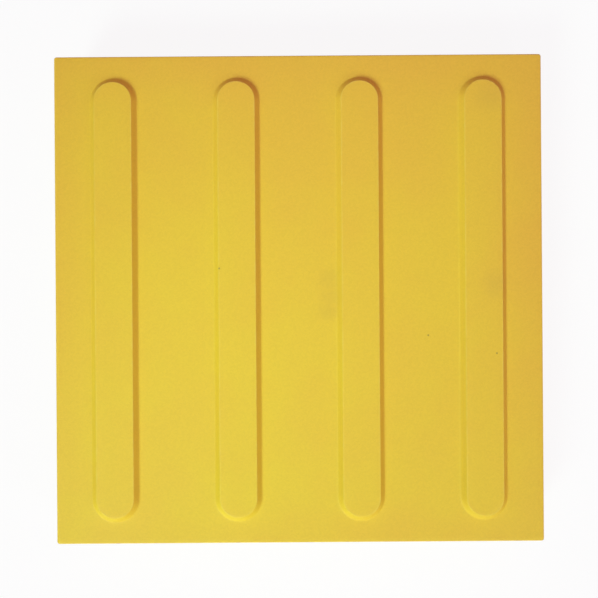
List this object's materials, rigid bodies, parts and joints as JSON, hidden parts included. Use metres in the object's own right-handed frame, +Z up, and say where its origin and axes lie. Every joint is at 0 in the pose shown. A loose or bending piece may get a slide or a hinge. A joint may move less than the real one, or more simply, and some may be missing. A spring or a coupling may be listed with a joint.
{
  "type": "tactile paving slab",
  "caption": "Square cast concrete paving slab with raised, parallel, flat-topped bars with rounded ends that show people with low vision the walking direction.",
  "frame": {"origin": "middle of the flat bed face, which is the underside", "axes": "+Z up out of the walking face, +Y along the bars and towards the top of the picture, +X across the bars"},
  "size_m": [0.3, 0.3, 0.054],
  "materials": {
    "yellow_concrete": "matte"
  },
  "bodies": {
    "root": {"tactile_slab": "yellow_concrete"}
  },
  "joints": []
}
